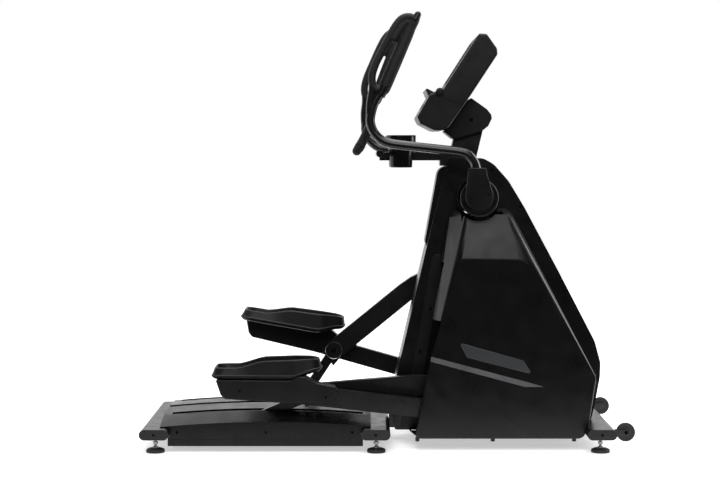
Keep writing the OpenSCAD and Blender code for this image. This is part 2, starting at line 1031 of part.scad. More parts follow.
module rail_link_right() { rail_link(-1); }
module rail_link_left() { rail_link(1); }

module roller(side) {
    color("dimgray")
        on_side(side)
            difference() {
                barrel(roller_pin(side), roller_r - 0.5, link_y[0] + 6, link_y[1] - 6);
                barrel(roller_pin(side), roller_pin_r + run_gap, link_y[0], link_y[1]);
            }
}

module roller_right() { roller(-1); }
module roller_left() { roller(1); }

base_spine();
rear_crossbeam();
middle_crossbeam();
front_crossbeam();
crossbeam_caps();
rail_right();
rail_left();
rail_cover_right();
rail_cover_left();
mast();
pivot_cross_shaft();
drive_frame();
drive_bearings();
brake_unit();
drive_belt();
centre_shroud_right();
centre_shroud_left();
side_shell_right();
side_shell_left();
side_badges();
accent_strips();
cover_screws();
console_bracket();
console_housing();
console_screen();
start_key();
stop_key();
plus_key();
minus_key();
handlebar();
pulse_grips();
cup_holders();
wheel_brackets();
wheel_right();
wheel_left();
foot_rear_right();
foot_rear_left();
foot_middle_right();
foot_middle_left();
foot_front_right();
foot_front_left();
crank_shaft();
drive_pulley();
crank_arms();
flywheel();
swing_arm_right();
hub_cover_right();
hand_grip_right();
swing_arm_left();
hub_cover_left();
hand_grip_left();
pedal_arm_right();
pedal_right();
rail_link_right();
roller_right();
pedal_arm_left();
pedal_left();
rail_link_left();
roller_left();
idler_pulley();
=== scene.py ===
"""The looks of the elliptical trainer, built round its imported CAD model.

Blender's lengths are in metres. Shapes are drawn in millimetres, most of them in the side view, as (along
the machine, up). A piece that has a twin is drawn on the left and mirrored for the right, where side is -1.
"""

import json
import math

import bmesh
import bpy
from mathutils import Matrix, Vector


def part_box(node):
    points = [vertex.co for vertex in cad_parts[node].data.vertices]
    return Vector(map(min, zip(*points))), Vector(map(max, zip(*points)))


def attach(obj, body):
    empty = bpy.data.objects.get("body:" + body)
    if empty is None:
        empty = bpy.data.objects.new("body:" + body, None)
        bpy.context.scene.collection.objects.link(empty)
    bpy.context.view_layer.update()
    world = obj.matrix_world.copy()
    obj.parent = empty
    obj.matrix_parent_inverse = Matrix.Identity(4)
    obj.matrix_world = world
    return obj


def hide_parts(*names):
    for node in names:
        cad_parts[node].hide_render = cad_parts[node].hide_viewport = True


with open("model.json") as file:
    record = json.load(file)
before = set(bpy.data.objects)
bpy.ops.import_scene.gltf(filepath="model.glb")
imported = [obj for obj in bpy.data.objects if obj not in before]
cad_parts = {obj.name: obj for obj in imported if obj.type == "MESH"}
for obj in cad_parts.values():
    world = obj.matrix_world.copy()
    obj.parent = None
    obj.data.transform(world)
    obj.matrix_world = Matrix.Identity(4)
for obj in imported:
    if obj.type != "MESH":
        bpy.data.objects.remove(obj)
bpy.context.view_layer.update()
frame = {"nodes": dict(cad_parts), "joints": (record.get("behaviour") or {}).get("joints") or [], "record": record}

MM = 0.001
SIDES = ((-1, "right"), (1, "left"))
PIN = {joint["name"]: Vector(joint["pos_m"]) / MM for joint in frame["joints"] if "pos_m" in joint}
NODE_BODY = {
    node: body
    for body, nodes in frame["record"]["behaviour"]["bodies"].items()
    for node in nodes
}
NODE_SLOT = {row["node"]: row["material_slot"] for row in frame["record"]["subparts"]}


def flat(point):
    """A point's place in the side view."""
    return Vector((point.x, point.z))


HUB = flat(PIN["swing_right"])


# ---------- materials ----------

class Finish:
    """A material in the making: its shader's inputs, and its place in the object's own metres."""

    def __init__(self, name, color, rough, metal=0.0, specular=0.5, coat=0.0, coat_rough=0.2, sheen=0.0):
        self.material = bpy.data.materials.new(name)
        self.material.use_nodes = True
        self.nodes = self.material.node_tree.nodes
        self.links = self.material.node_tree.links
        self.inputs = self.nodes["Principled BSDF"].inputs
        self.inputs["Base Color"].default_value = (*color, 1)
        self.inputs["Roughness"].default_value = rough
        self.inputs["Metallic"].default_value = metal
        self.inputs["Specular IOR Level"].default_value = specular
        self.inputs["Coat Weight"].default_value = coat
        self.inputs["Coat Roughness"].default_value = coat_rough
        self.inputs["Sheen Weight"].default_value = sheen
        self.place = self.nodes.new("ShaderNodeTexCoord").outputs["Object"]

    def node(self, kind, inputs):
        """A node with its inputs set to numbers, or linked to other nodes' outputs."""
        node = self.nodes.new("ShaderNode" + kind)
        for name, value in inputs.items():
            if isinstance(value, bpy.types.NodeSocket):
                self.links.new(value, node.inputs[name])
            else:
                node.inputs[name].default_value = value
        return node

    def noise(self, scale, detail, stretch=None):
        """A noise texture's value, with scale in repeats a metre."""
        place = self.place
        if stretch:
            place = self.node("Mapping", {"Scale": stretch, "Vector": place}).outputs["Vector"]
        texture = self.node("TexNoise", {"Scale": scale, "Detail": detail, "Vector": place})
        return texture.outputs["Fac"]

    def ramp(self, value, low, high, first, second):
        """A colour that runs from first at low to second at high."""
        node = self.node("ValToRGB", {"Fac": value})
        for element, at, color in zip(node.color_ramp.elements, (low, high), (first, second)):
            element.position = at
            element.color = (*color, 1)
        return node.outputs["Color"]

    def uneven_color(self, color):
        """Colour that drifts a little over the surface."""
        ends = [tuple(share * c for c in color) for share in (0.8, 1.2)]
        mix = self.node("Mix", {"Factor": 0.4})
        mix.data_type = "RGBA"
        self.links.new(self.ramp(self.noise(9, 4), 0.35, 0.65, *ends), mix.inputs["A"])
        self.links.new(self.ramp(self.noise(60, 5), 0.3, 0.7, *ends), mix.inputs["B"])
        return mix.outputs["Result"]

    def vary(self, tint, cloud, low, high):
        """Takes the colour from tint, and a roughness from low to high from the middle of a noise."""
        ends = {"Value": cloud, "From Min": 0.3, "From Max": 0.7, "To Min": low, "To Max": high}
        self.links.new(tint, self.inputs["Base Color"])
        self.links.new(self.node("MapRange", ends).outputs["Result"], self.inputs["Roughness"])

    def bump(self, height, strength, depth):
        """Gives the surface a bump of a depth in metres."""
        node = self.node("Bump", {"Height": height, "Strength": strength, "Distance": depth})
        self.links.new(node.outputs["Normal"], self.inputs["Normal"])


def moulded(name, color, rough, grain, depth, specular=0.3):
    """Moulded plastic with a fine spark-eroded grain."""
    finish = Finish(name, color, rough, specular=specular)
    finish.vary(finish.uneven_color(color), finish.noise(14, 5), rough - 0.05, rough + 0.07)
    finish.bump(finish.noise(grain, 2), 0.12, depth * 0.5)
    return finish.material


def painted(name, color, rough, coat=0.0):
    """Powder coat, with its slight orange peel."""
    finish = Finish(name, color, rough, specular=0.45, coat=coat, coat_rough=0.28)
    finish.vary(finish.uneven_color(color), finish.noise(22, 4), rough - 0.04, rough + 0.06)
    finish.bump(finish.noise(260, 2), 0.16, 0.00012)
    return finish.material


def soft_rubber(name, color, rough, grain, depth, sheen=0.0):
    """Rubber or skinned foam, with dust in its pores."""
    finish = Finish(name, color, rough, specular=0.35, sheen=sheen)
    pale = tuple(1.7 * c for c in color)
    speck = finish.ramp(finish.noise(grain * 0.4, 4), 0.4, 0.75, color, pale)
    finish.vary(speck, finish.noise(18, 4), rough - 0.08, rough + 0.08)
    finish.bump(finish.noise(grain, 3), 0.5, depth)
    return finish.material


def bare_metal(name, color, rough, brush, depth=0.00006):
    """Metal whose brushing or turning marks run across the stretched direction."""
    finish = Finish(name, color, rough, metal=1.0)
    dark = tuple(0.72 * c for c in color)
    mark = finish.noise(420, 3, brush)
    finish.vary(finish.ramp(mark, 0.35, 0.65, dark, color), mark, rough - 0.06, rough + 0.1)
    finish.bump(mark, 0.3, depth)
    return finish.material


def glassy(name, color):
    """Screen glass, switched off, with faint smears from hands."""
    finish = Finish(name, color, 0.08, specular=0.6, coat=1.0, coat_rough=0.03)
    pale = tuple(c * 1.5 for c in color)
    smear = finish.noise(16, 6, (1, 2.4, 1))
    finish.vary(finish.ramp(smear, 0.4, 0.7, color, pale), smear, 0.05, 0.2)
    return finish.material


BLACK = (0.0030, 0.0030, 0.0032)
LOOKS = {
    "shell": moulded("shell_plastic", BLACK, 0.31, 900, 0.00010),
    "cover": moulded("cover_plastic", (0.0034, 0.0034, 0.0036), 0.29, 1100, 0.00010),
    "rail": moulded("rail_cover_plastic", (0.0032, 0.0032, 0.0034), 0.27, 1100, 0.00010, 0.2),
    "console": moulded("console_plastic", (0.0046, 0.0046, 0.0048), 0.34, 1200, 0.00012),
    "pedal": moulded("pedal_plastic", (0.0046, 0.0046, 0.0049), 0.39, 800, 0.00020),
    "hub": moulded("hub_plastic", (0.0050, 0.0050, 0.0052), 0.33, 1100, 0.00010),
    "cup": moulded("cup_plastic", (0.0040, 0.0040, 0.0042), 0.18, 1400, 0.00004),
    "cap": moulded("cap_plastic", (0.012, 0.012, 0.0125), 0.42, 900, 0.00016),
    "key": moulded("key_rubber", (0.045, 0.045, 0.049), 0.5, 1300, 0.00008),
    "pulley": moulded("pulley_plastic", (0.02, 0.02, 0.021), 0.4, 900, 0.0001),
    # pale grey: the screen bezel's own colour, and on the side shells a painted highlight standing in for light
    # falling on the shell's upward-facing ledge
    "accent": moulded("accent_plastic", (0.095, 0.095, 0.099), 0.42, 1000, 0.00008),
    "frame": painted("frame_paint", (0.0040, 0.0040, 0.0042), 0.30),
    "arm": painted("arm_paint", (0.0048, 0.0048, 0.0050), 0.30),
    "tube": painted("tube_paint", (0.0050, 0.0050, 0.0052), 0.22, 0.25),
    "brake": painted("brake_paint", (0.05, 0.05, 0.055), 0.4),
    "foam": soft_rubber("grip_rubber", (0.0062, 0.0062, 0.0066), 0.58, 1700, 0.00022, 0.06),
    "rubber": soft_rubber("foot_rubber", (0.016, 0.016, 0.016), 0.6, 900, 0.00018),
    "wheel": soft_rubber("wheel_rubber", (0.016, 0.016, 0.017), 0.55, 900, 0.00015),
    "mat": soft_rubber("mat_rubber", (0.012, 0.012, 0.012), 0.66, 1300, 0.0003),
    "belt": soft_rubber("belt_rubber", (0.01, 0.01, 0.01), 0.6, 900, 0.0002),
    "urethane": soft_rubber("roller_urethane", (0.03, 0.03, 0.03), 0.5, 700, 0.0001),
    "steel": bare_metal("rail_steel", (0.42, 0.42, 0.43), 0.34, (1, 9, 1)),
    "zinc": bare_metal("zinc_steel", (0.34, 0.34, 0.35), 0.3, (1, 1, 6)),
    "bright": bare_metal("bearing_steel", (0.62, 0.62, 0.63), 0.18, (1, 6, 1), 0.00003),
    "screw": bare_metal("screw_steel", (0.005, 0.005, 0.005), 0.4, (1, 1, 1)),
    "iron": bare_metal("flywheel_iron", (0.22, 0.22, 0.23), 0.4, (1, 7, 1)),
    "badge": bare_metal("badge_metal", (0.135, 0.14, 0.148), 0.4, (1, 1, 14)),
    "screen": glassy("screen_glass", (0.006, 0.0065, 0.0075)),
}
# Each look by the name of its slot in the record, for the CAD nodes that keep their own shape
SLOT_LOOK = {material.name.split(".")[0]: look for look, material in LOOKS.items()}


# ---------- shapes ----------

def bmesh_object(name, shape, mesh=None):
    """An object with a bmesh's shape, in a mesh of its own if none is given."""
    mesh = mesh or bpy.data.meshes.new(name)
    shape.to_mesh(mesh)
    shape.free()
    piece = bpy.data.objects.new(name, mesh)
    bpy.context.scene.collection.objects.link(piece)
    return piece


def mesh_object(name, verts, faces, side=1):
    """An object from points in millimetres, mirrored for the right side, with its faces turned outwards."""
    mesh = bpy.data.meshes.new(name)
    mesh.from_pydata([(x * MM, y * side * MM, z * MM) for x, y, z in verts], [], faces)
    shape = bmesh.new()
    shape.from_mesh(mesh)
    bmesh.ops.remove_doubles(shape, verts=shape.verts, dist=1e-7)
    bmesh.ops.recalc_face_normals(shape, faces=shape.faces)
    return bmesh_object(name, shape, mesh)


def rounded(points, radius, steps=7):
    """An outline with an arc at each corner. Radius is one number, or one for each corner."""
    outline = []
    for i, point in enumerate(points):
        here = Vector(point)
        back = Vector(points[i - 1]) - here
        ahead = Vector(points[(i + 1) % len(points)]) - here
        bend = back.angle(ahead)
        size = radius[i] if isinstance(radius, (list, tuple)) else radius
        if size <= 0 or bend > math.radians(178):
            outline.append(here)
            continue
        reach = min(size / math.tan(bend / 2), 0.48 * back.length, 0.48 * ahead.length)
        size = reach * math.tan(bend / 2)
        middle = here + (back.normalized() + ahead.normalized()).normalized() * size / math.sin(bend / 2)
        start = here + back.normalized() * reach - middle
        end = here + ahead.normalized() * reach - middle
        turn = start.angle(end)
        for k in range(steps + 1):
            t = k / steps
            spoke = math.sin((1 - t) * turn) * start + math.sin(t * turn) * end
            outline.append(middle + spoke / math.sin(turn))
    return outline


def stadium(width, height, at):
    """A flat-sided outline with round ends."""
    x, z = at
    a, b = width / 2, height / 2
    corners = [(x - a, z - b), (x + a, z - b), (x + a, z + b), (x - a, z + b)]
    return rounded(corners, b - 0.01, 10)


def round_bar(a, b, width, steps=14):
    """A bar with round ends between two points."""
    a, b = Vector(a), Vector(b)
    along = (b - a).normalized() * width / 2
    across = Vector((-along.y, along.x))
    arc = [math.pi * k / steps for k in range(steps + 1)]
    first = [a + across * math.cos(t) - along * math.sin(t) for t in arc]
    second = [b - across * math.cos(t) + along * math.sin(t) for t in arc]
    return first + second


def placed(points, at, degrees):
    """Side view points turned and moved from a pin's own place."""
    turn = Matrix.Rotation(math.radians(degrees), 2)
    return [Vector(at) + turn @ Vector(p) for p in points]


def smooth_path(points, steps=8):
    """A Catmull-Rom curve through points."""
    points = [Vector(p) for p in points]
    path = []
    for i in range(len(points) - 1):
        a, b = points[max(i - 1, 0)], points[i]
        c, d = points[i + 1], points[min(i + 2, len(points) - 1)]
        for k in range(steps):
            t = k / steps
            square = 2 * a - 5 * b + 4 * c - d
            cube = 3 * b - a - 3 * c + d
            path.append(0.5 * (2 * b + (c - a) * t + square * t ** 2 + cube * t ** 3))
    return path + [points[-1]]


def slab(name, outline, y0, y1, side=1):
    """A side view outline, from one distance from the middle plane to another."""
    n = len(outline)
    verts = [(p[0], y, p[1]) for y in (y0, y1) for p in outline]
    faces = [tuple(range(n)), tuple(range(2 * n - 1, n - 1, -1))]
    faces += [(i, (i + 1) % n, n + (i + 1) % n, n + i) for i in range(n)]
    return mesh_object(name, verts, faces, side)


def loft(name, loops, side=1, closed=True):
    """A skin through loops of as many points each, with both ends closed."""
    n = len(loops[0])
    verts = [tuple(p) for loop in loops for p in loop]
    faces = [
        (r * n + i, r * n + (i + 1) % n, (r + 1) * n + (i + 1) % n, (r + 1) * n + i)
        for r in range(len(loops) - 1)
        for i in range(n)
    ]
    if closed:
        faces += [tuple(range(n)), tuple(range(len(verts) - 1, len(verts) - n - 1, -1))]
    return mesh_object(name, verts, faces, side)


def turned(name, profile, at, side=1, upright=False, steps=72, ripple=None):
    """A turned solid. Its profile is (radius, distance along), from one end to the other."""
    x, z = at[0], at[-1]
    loops = []
    for radius, along in profile:
        loop = []
        for k in range(steps):
            a = 2 * math.pi * k / steps
            r = max(radius, 0.02) * (ripple(a, along) if ripple else 1)
            if upright:
                loop.append((x + r * math.cos(a), at[1] + r * math.sin(a), z + along))
            else:
                loop.append((x + r * math.cos(a), along, z + r * math.sin(a)))
        loops.append(loop)
    return loft(name, loops, side, profile[0] != profile[-1])


def bulge(ring, degrees, way):
    """A tube's ring moved along it and shrunk, for a domed end."""
    point, ahead, u, v, radius = ring
    angle = math.radians(degrees)
    return point + way * ahead * radius * math.sin(angle), ahead, u, v, radius * math.cos(angle)


def tube(name, path, radius, side=1, sides=32, flatten=1.0, dome=True):
    """A tube along a path of 3-D points. Radius is a number, or a function of the share of the path."""
    path = [Vector(p) for p in path]
    last = len(path) - 1
    size = radius if callable(radius) else (lambda t: radius)
    rings = []
    across = Vector((0, 1, 0))
    for i, point in enumerate(path):
        ahead = (path[min(i + 1, last)] - path[max(i - 1, 0)]).normalized()
        across = (across - ahead * across.dot(ahead)).normalized()
        rings.append((point, ahead, across, ahead.cross(across), size(i / last)))
    if dome:
        bulges = (82, 64, 46, 28, 12)
        start = [bulge(rings[0], a, -1) for a in bulges]
        close = [bulge(rings[-1], a, 1) for a in bulges[::-1]]
        rings = start + rings + close
    loops = []
    for point, _, u, v, r in rings:
        angles = [2 * math.pi * k / sides for k in range(sides)]
        loops.append([point + u * r * flatten * math.cos(a) + v * r * math.sin(a) for a in angles])
    return loft(name, loops, side)


def block(name, low, high):
    """A box for cutting with, between two corners."""
    corners = [(x, y, z) for x in (low[0], high[0]) for y in (low[1], high[1]) for z in (low[2], high[2])]
    faces = [(0, 1, 3, 2), (4, 6, 7, 5), (0, 4, 5, 1), (2, 3, 7, 6), (0, 2, 6, 4), (1, 5, 7, 3)]
    return mesh_object(name, corners, faces)


def apply(piece):
    """Turns a piece's modifiers into its mesh."""
    seen = piece.evaluated_get(bpy.context.evaluated_depsgraph_get())
    mesh = bpy.data.meshes.new_from_object(seen)
    piece.modifiers.clear()
    piece.data = mesh


def cut(piece, *tools, join=False):
    """Cuts tools out of a piece, or joins them to it, and removes the tools."""
    for tool in tools:
        modifier = piece.modifiers.new("cut", "BOOLEAN")
        modifier.operation = "UNION" if join else "DIFFERENCE"
        modifier.solver = "MANIFOLD"
        modifier.object = tool
        bpy.context.view_layer.update()
        apply(piece)
        bpy.data.objects.remove(tool)
    return piece


def soften(piece, width, segments=3, angle=30):
    """Rounds a piece's edges by a width in millimetres."""
    bevel = piece.modifiers.new("bevel", "BEVEL")
    bevel.width = width * MM
    bevel.segments = segments
    bevel.limit_method = "ANGLE"
    bevel.angle_limit = math.radians(angle)
    bevel.miter_outer = "MITER_ARC"
    bpy.context.view_layer.update()
    apply(piece)
    return piece


def dress(piece, body, look, replaces=(), sharp=40):
    """Shades a piece, gives it its look, and lets it ride on its body."""
    weighted = piece.modifiers.new("normals", "WEIGHTED_NORMAL")
    weighted.keep_sharp = True
    piece.data.shade_smooth()
    piece.data.set_sharp_from_angle(angle=math.radians(sharp))
    bpy.context.view_layer.update()
    apply(piece)
    piece.data.materials.clear()
    piece.data.materials.append(LOOKS[look])
    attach(piece, body)
    if replaces:
        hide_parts(*replaces)
    return piece


def joined(name, pieces):
    """Several pieces as one object."""
    shape = bmesh.new()
    for piece in pieces:
        shape.from_mesh(piece.data)
        bpy.data.objects.remove(piece)
    return bmesh_object(name, shape)


def refined(node, width, look=None, segments=2, angle=34, sharp=38):
    """A copy of a CAD node with its edges rounded, which stands for the node."""
    mesh = frame["nodes"][node].data.copy()
    shape = bmesh.new()
    shape.from_mesh(mesh)
    bmesh.ops.remove_doubles(shape, verts=shape.verts, dist=2e-6)
    bmesh.ops.dissolve_limit(shape, angle_limit=math.radians(0.6), verts=shape.verts, edges=shape.edges)
    piece = bmesh_object(node + "_body", shape, mesh)
    soften(piece, width, segments, angle)
    slot = NODE_SLOT[node]
    return dress(piece, NODE_BODY[node], look or SLOT_LOOK[slot], [node], sharp)


def screw_head(name, at, y, side, radius=5.0, height=1.6):
    """A cap screw's head with its hexagon socket, its underside at y."""
    profile = [(0, y), (radius, y), (radius, y + height * 0.6), (radius * 0.82, y + height)]
    profile += [(radius * 0.5, y + height), (radius * 0.46, y + height * 0.25), (0, y + height * 0.25)]
    return turned(name, profile, at, side, steps=24)


def side_box(node):
    """A node's middle, width and height in the side view."""
    low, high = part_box(node)
    middle = ((low.x + high.x) / 2 / MM, (low.z + high.z) / 2 / MM)
    return middle, (high.x - low.x) / MM, (high.z - low.z) / MM


def on_both_sides(*makers):
    """Makes the pieces that the machine has on its right and on its left."""
    for side, word in SIDES:
        for make in makers:
            make(side, word)


# ---------- camera, light and floor ----------

def area_light(name, at, size, power, aim=(0, 0, 0.8)):
    """A soft rectangular light that faces a point."""
    light = bpy.data.lights.new(name, "AREA")
    light.shape = "RECTANGLE"
    light.size, light.size_y = size
    light.energy = power
    lamp = bpy.data.objects.new(name, light)
    lamp.location = at
    lamp.rotation_euler = (Vector(aim) - Vector(at)).to_track_quat("-Z", "Y").to_euler()
    bpy.context.scene.collection.objects.link(lamp)


def make_world():
    """A studio that is white behind the machine and dim behind the camera."""
    world = bpy.data.worlds.new("studio")
    bpy.context.scene.world = world
    world.use_nodes = True
    nodes, links = world.node_tree.nodes, world.node_tree.links
    place = nodes.new("ShaderNodeTexCoord")
    split = nodes.new("ShaderNodeSeparateXYZ")
    links.new(place.outputs["Generated"], split.inputs[0])
    fade = nodes.new("ShaderNodeMapRange")
    fade.inputs["From Min"].default_value = 0.04
    fade.inputs["From Max"].default_value = 0.6
    fade.inputs["To Min"].default_value = 0.07
    fade.inputs["To Max"].default_value = 1.0
    links.new(split.outputs["Y"], fade.inputs["Value"])
    ray = nodes.new("ShaderNodeLightPath")
    seen = nodes.new("ShaderNodeMath")
    seen.operation = "MAXIMUM"
    links.new(fade.outputs["Result"], seen.inputs[0])
    links.new(ray.outputs["Is Camera Ray"], seen.inputs[1])
    links.new(seen.outputs[0], nodes["Background"].inputs["Strength"])
    nodes["Background"].inputs["Color"].default_value = (1, 1, 1, 1)


def make_stage():
    """Camera, lights and floor."""
    camera = bpy.data.cameras.new("camera")
    camera.sensor_width = 36
    camera.lens = 82.65
    camera.shift_y = -0.06
    eye = bpy.data.objects.new("camera", camera)
    eye.location = (-0.109, -6.9, 1.193)
    eye.rotation_euler = (math.radians(90 - 1.518), 0, 0)
    bpy.context.scene.collection.objects.link(eye)
    bpy.context.scene.camera = eye
    bpy.context.scene.view_settings.view_transform = "Standard"
    make_world()
    area_light("top_box", (0.2, 0.1, 3.7), (3.6, 2.2), 60)
    area_light("front_box", (3.3, 0.7, 2.2), (1.8, 2.8), 80)
    area_light("rear_box", (-3.3, 0.6, 2.0), (1.6, 2.8), 14)
    area_light("camera_box", (0.3, -4.0, 3.7), (3.2, 1.8), 60)
    area_light("low_strip", (0.3, -5.4, 3.0), (3.4, 0.6), 26)
    sky = bpy.data.lights.new("sky", "SUN")
    sky.energy = 1.5
    sky.angle = math.radians(70)
    lamp = bpy.data.objects.new("sky", sky)
    lamp.rotation_euler = (math.radians(8), 0, 0)
    bpy.context.scene.collection.objects.link(lamp)
    far, near = 9000, -930
    corners = [(-far, near, 0), (far, near, 0), (far, far, 0), (-far, far, 0)]
    floor = mesh_object("floor", corners, [(0, 1, 2, 3)])
    white = Finish("floor_white", (0.93, 0.93, 0.93), 0.6, specular=0.2)
    tint = white.ramp(white.noise(3, 3), 0.3, 0.7, (0.92, 0.92, 0.92), (0.94, 0.94, 0.94))
    white.links.new(tint, white.inputs["Base Color"])
    white.inputs["Emission Color"].default_value = (1, 1, 1, 1)
    white.inputs["Emission Strength"].default_value = 0.5
    floor.data.materials.append(white.material)


make_stage()


# ---------- base ----------

def make_base():
    """Crossbeams, their caps and cap screws, and spine."""
    for node in ("rear_crossbeam", "middle_crossbeam", "front_crossbeam", "base_spine"):
        refined(node, 1.5)
    screws = []
    caps = []
    for name in ("rear_crossbeam", "middle_crossbeam", "front_crossbeam"):
        middle, width, height = side_box(name)
        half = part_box(name)[1].y / MM
        for side, _ in SIDES:
            cap = slab("cap", stadium(width, height, middle), half, half + 3, side)
            plug = slab("plug", stadium(width - 6.4, height - 6.4, middle), half - 7, half + 0.5, side)
            caps += [soften(cap, 1.2), soften(plug, 0.8)]
            screws.append(screw_head("s", middle, half + 2.9, side, 5.5, 1.2))
    dress(joined("crossbeam_end_caps", caps), "frame", "cap", ["crossbeam_caps"])
    dress(joined("cap_screws", screws), "frame", "screw")


def make_foot(node):
    """A levelling foot: a scalloped rubber disc on a zinc stud, with a lock nut."""
    low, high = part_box(node)
    at = ((low.x + high.x) / 2 / MM, (low.y + high.y) / 2 / MM, 0)
    radius = (high.x - low.x) / 2 / MM
    top = high.z / MM

    def scallop(angle, along):
        return 1 - 0.045 * max(0.0, math.cos(8 * angle)) ** 2 if along > 3 else 1.0

    profile = [(0, 0), (radius - 3, 0), (radius - 0.8, 0.8), (radius, 2.5), (radius, 6), (radius, 10)]
    profile += [(radius - 0.8, 12), (radius - 3, 13.6), (radius - 11, 17), (14, 18.4), (12.5, 19), (0, 19)]
    disc = turned("disc", profile, at, upright=True, steps=128, ripple=scallop)
    dress(disc, NODE_BODY[node], "rubber", [node], 50)
    disc.name = node + "_disc"
    cup = turned("cup", [(0, 18.5), (11, 18.5), (11, 22), (9.5, 24), (0, 24)], at, upright=True)
    thread = [(0, 20)]
    z = 23.0
    while z < top - 1:
        thread += [(5.3, z), (6, z + 0.4), (5.3, z + 0.8)]
        z += 1.25
    thread += [(5.2, top), (0, top)]
    stud = turned("stud", thread, at, upright=True, steps=28)
    hexagon = [(11 * math.cos(math.radians(a)), 11 * math.sin(math.radians(a))) for a in range(0, 360, 60)]
    nut = loft("nut", [[(at[0] + x, at[1] + y, z) for x, y in hexagon] for z in (34, 43)])
    metal = joined(node + "_stud", [cup, stud, soften(nut, 1.0)])
    dress(metal, NODE_BODY[node], "zinc")


def make_wheel(side, word):
    """A transport wheel with a crowned tread, a dished side and an axle bolt."""
    node = "wheel_" + word
    at, width, _ = side_box(node)
    radius = width / 2
    inner, outer = sorted(abs(corner.y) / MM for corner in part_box(node))
    half = [(5.1, 0), (12, 0), (12.6, 0.4), (13.4, 2.6), (27, 2.6), (28, 0.5), (radius - 4, 0)]
    half += [(radius - 1.6, 1.2), (radius - 0.4, 3.6), (radius, 7)]
    profile = [(r, inner + d) for r, d in half] + [(r, outer - d) for r, d in half[::-1]]
    profile.append(profile[0])
    tyre = turned(node + "_tread", profile, at, side, steps=96)
    dress(tyre, NODE_BODY[node], "wheel", [node])
    bolt = screw_head("wheel_bolt_" + word, at, outer + 4.9, side, 7.5, 3)
    dress(bolt, "frame", "screw")


make_base()
for foot_node in [n for n in frame["nodes"] if n.startswith("foot_")]:
    make_foot(foot_node)
on_both_sides(make_wheel)
refined("wheel_brackets", 1.2)


# ---------- rails ----------

def make_rails(side, word):
    """The rail, its cover with a stepped skirt, and the pan under it."""
    refined("rail_" + word, 0.8)
    refined("rail_cover_" + word, 3.2, "rail", segments=4, angle=20, sharp=30)
    low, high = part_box("rail_cover_" + word)
    face = max(abs(low.y), abs(high.y)) / MM
    x0, x1 = low.x / MM + 46, high.x / MM - 48
    z0 = low.z / MM
    step = rounded([(x0, z0), (x1, z0), (x1 - 6, z0 + 27), (x0 + 6, z0 + 27)], 5)
    skirt = slab("rail_skirt_" + word, step, face - 2, face + 2.4, side)
    dress(soften(skirt, 1.6), "frame", "rail")
    sheet = rounded([(x0, z0), (x1, z0), (x1, z0 + 4), (x0, z0 + 4)], 1.5)
    pan = slab("rail_pan_" + word, sheet, 120, face - 8, side)
    dress(soften(pan, 0.8), "frame", "rail")


on_both_sides(make_rails)


# ---------- housing ----------

# Outer faces of the shroud, its hump, its hub boss and the side shells, and the thickness of them all
SHROUD_Y = 108
HUMP_Y = 60
BOSS_Y = 196
SHELL_Y = 300
WALL = 4
SHROUD = [
    (33, 52), (41, 275), (165, 806), (254, 1172), (396, 1172), (440, 1148), (502, 1078), (568, 968),
    (716, 691), (858, 418), (882, 330), (880, 270), (862, 170), (846, 100), (826, 60), (796, 52),
]
SHROUD_CORNERS = [8, 60, 0, 8, 60, 90, 120, 60, 0, 120, 60, 60, 60, 60, 30, 12]
# The side shell's outlines, from where it meets the shroud to its face
ROOT = [
    (88, 46), (104, 110), (169, 400), (232, 770), (256, 930), (272, 955), (488, 966), (512, 946),
    (578, 806), (604, 756), (842, 304), (846, 280), (822, 100), (802, 56), (780, 46),
]
FACE = [
    (106, 46), (174, 366), (266, 782), (286, 805), (534, 804), (572, 790), (598, 752), (836, 300),
    (838, 280), (810, 100), (790, 54), (770, 46),
]
NECK = [(300, 900), (312, 940), (322, 950), (486, 946), (504, 930), (520, 890)]
NECK_Y = 242
SHOULDER = [(314, 860), (320, 880), (500, 880), (516, 850)]
SHOULDER_Y = 271
CRANK = flat(PIN["crank_spin"])
MAST_FOOT = Vector((67, 125))
MAST_LEAN = math.degrees(math.atan(0.2382))


def inset(outline, depth):
    """An outline moved inwards."""
    n = len(outline)
    area = sum(outline[i - 1][0] * outline[i][1] - outline[i][0] * outline[i - 1][1] for i in range(n))
    turn = 1 if area > 0 else -1
    moved = []
    for i in range(n):
        a, b, c = Vector(outline[i - 1]), Vector(outline[i]), Vector(outline[(i + 1) % n])
        ahead = ((b - a).normalized() + (c - b).normalized()).normalized()
        moved.append(b + Vector((-ahead.y, ahead.x)) * depth * turn)
    return moved


def disc_tool(at, radius, y0, y1, side):
    """A cylinder across the machine, for cutting with."""
    return turned("tool", [(0, y0), (radius, y0), (radius, y1), (0, y1)], at, side, steps=64)


def beam_tool(side):
    """The front crossbeam's way through the covers."""
    middle, width, height = side_box("front_crossbeam")
    return slab("tool", stadium(width + 2, height + 2, middle), -10, 340, side)


